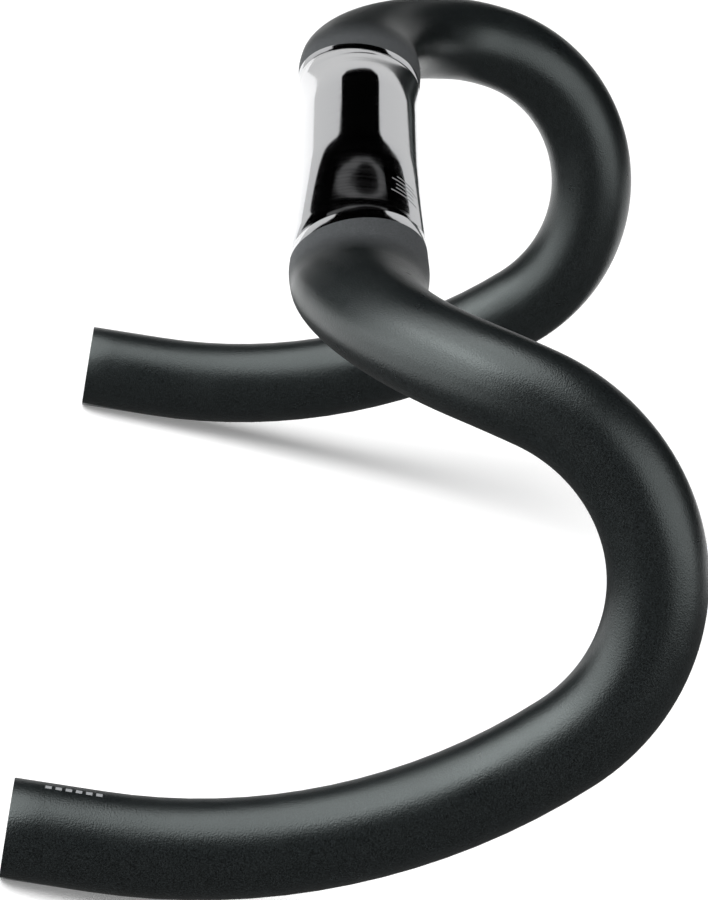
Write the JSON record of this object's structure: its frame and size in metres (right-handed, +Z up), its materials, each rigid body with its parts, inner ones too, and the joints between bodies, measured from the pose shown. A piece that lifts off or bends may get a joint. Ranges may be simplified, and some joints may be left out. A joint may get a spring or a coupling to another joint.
{
  "type": "drop handlebar",
  "caption": "Compact road drop handlebar: a bent aluminium tube with a polished round clamp barrel, flattened black tops and open round drops.",
  "frame": {"origin": "centre of the clamp barrel, on its axis", "axes": "+X along the barrel to the rider's right, +Y forward, +Z up"},
  "size_m": [0.4356, 0.1489, 0.1539],
  "materials": {
    "polished_aluminium": "mirror polished",
    "black_anodised": "fine shot-blasted, black anodised, satin"
  },
  "bodies": {
    "root": {"clamp_barrel": "polished_aluminium", "left_barrel_taper": "polished_aluminium", "left_top": "black_anodised", "left_hood": "black_anodised", "left_upper_hook": "black_anodised", "left_lower_hook": "black_anodised", "left_drop": "black_anodised", "left_bar_end": "black_anodised", "right_barrel_taper": "polished_aluminium", "right_top": "black_anodised", "right_hood": "black_anodised", "right_upper_hook": "black_anodised", "right_lower_hook": "black_anodised", "right_drop": "black_anodised", "right_bar_end": "black_anodised"}
  },
  "joints": []
}
